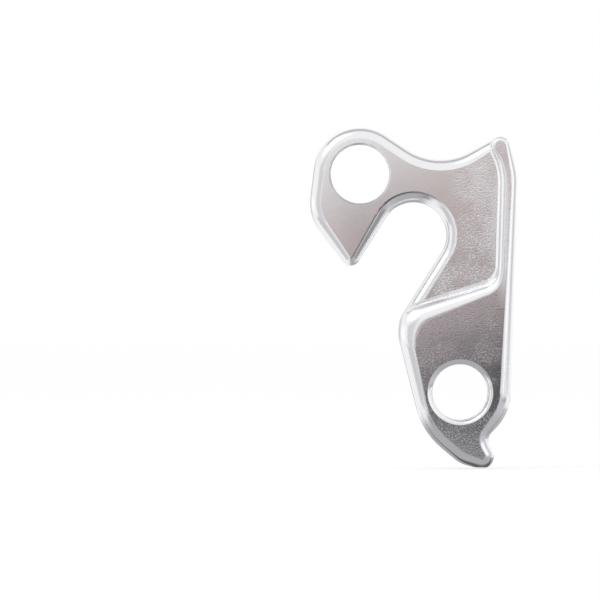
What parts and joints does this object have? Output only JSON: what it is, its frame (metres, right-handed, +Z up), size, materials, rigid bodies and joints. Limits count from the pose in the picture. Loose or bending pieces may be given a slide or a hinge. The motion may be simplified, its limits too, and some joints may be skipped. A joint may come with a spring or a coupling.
{
  "type": "bicycle derailleur hanger",
  "caption": "Cast hook-shaped plate that bolts into a bicycle frame's rear dropout beside the wheel axle and carries the rear derailleur in a threaded hole.",
  "frame": {"origin": "axis of the frame bolt hole, on the floor of the pocket that seats on the dropout", "axes": "+Z up and +X forward on the bicycle, +Y from the outer face towards the wheel"},
  "size_m": [0.0331, 0.0074, 0.0545],
  "materials": {
    "satin_aluminium": "cast, tumbled and satin polished"
  },
  "bodies": {
    "root": {"derailleur_hanger": "satin_aluminium"}
  },
  "joints": []
}
